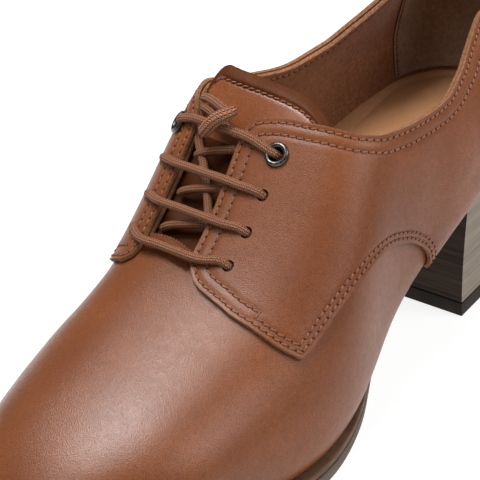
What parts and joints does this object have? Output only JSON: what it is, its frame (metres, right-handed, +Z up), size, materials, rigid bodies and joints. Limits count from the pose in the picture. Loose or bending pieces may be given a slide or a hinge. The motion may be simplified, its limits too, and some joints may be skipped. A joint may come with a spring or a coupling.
{
  "type": "shoe",
  "caption": "Block-heeled lace-up derby shoe for the left foot in smooth brown leather, with open lacing over a tongue, a low collar, a thin ledged sole and a stacked heel",
  "frame": {"origin": "on the floor, under the middle of the shoe's length and width", "axes": "+X to the outer (lateral) side of a left foot, +Y towards the heel with the toe at -Y, +Z up"},
  "size_m": [0.0907, 0.2451, 0.109],
  "materials": {
    "upper_leather": "smooth brown calf, fine grain, satin polish",
    "insole_leather": "light tan sock leather, matt",
    "sole_leather": "grey-brown trimmed and waxed sole edge",
    "heel_stack": "stacked layers, trimmed and waxed, darker at the breast",
    "lift_rubber": "black heel rubber",
    "eyelet_metal": "gunmetal plated",
    "lace_cord": "round braided and waxed cotton cord"
  },
  "bodies": {
    "root": {"upper": "upper_leather", "quarter_lateral": "upper_leather", "quarter_medial": "upper_leather", "tongue": "upper_leather", "insole": "insole_leather", "outsole": "sole_leather", "heel": "heel_stack", "top_lift": "lift_rubber", "eyelet_lateral": "eyelet_metal", "eyelet_medial": "eyelet_metal", "lace_bar_1": "lace_cord", "lace_bar_2": "lace_cord", "lace_bar_3": "lace_cord", "lace_bar_4": "lace_cord", "lace_crossing_1": "lace_cord", "lace_crossing_2": "lace_cord", "lace_crossing_3": "lace_cord", "lace_knot": "lace_cord", "lace_end_1": "lace_cord", "lace_end_2": "lace_cord"}
  },
  "joints": []
}
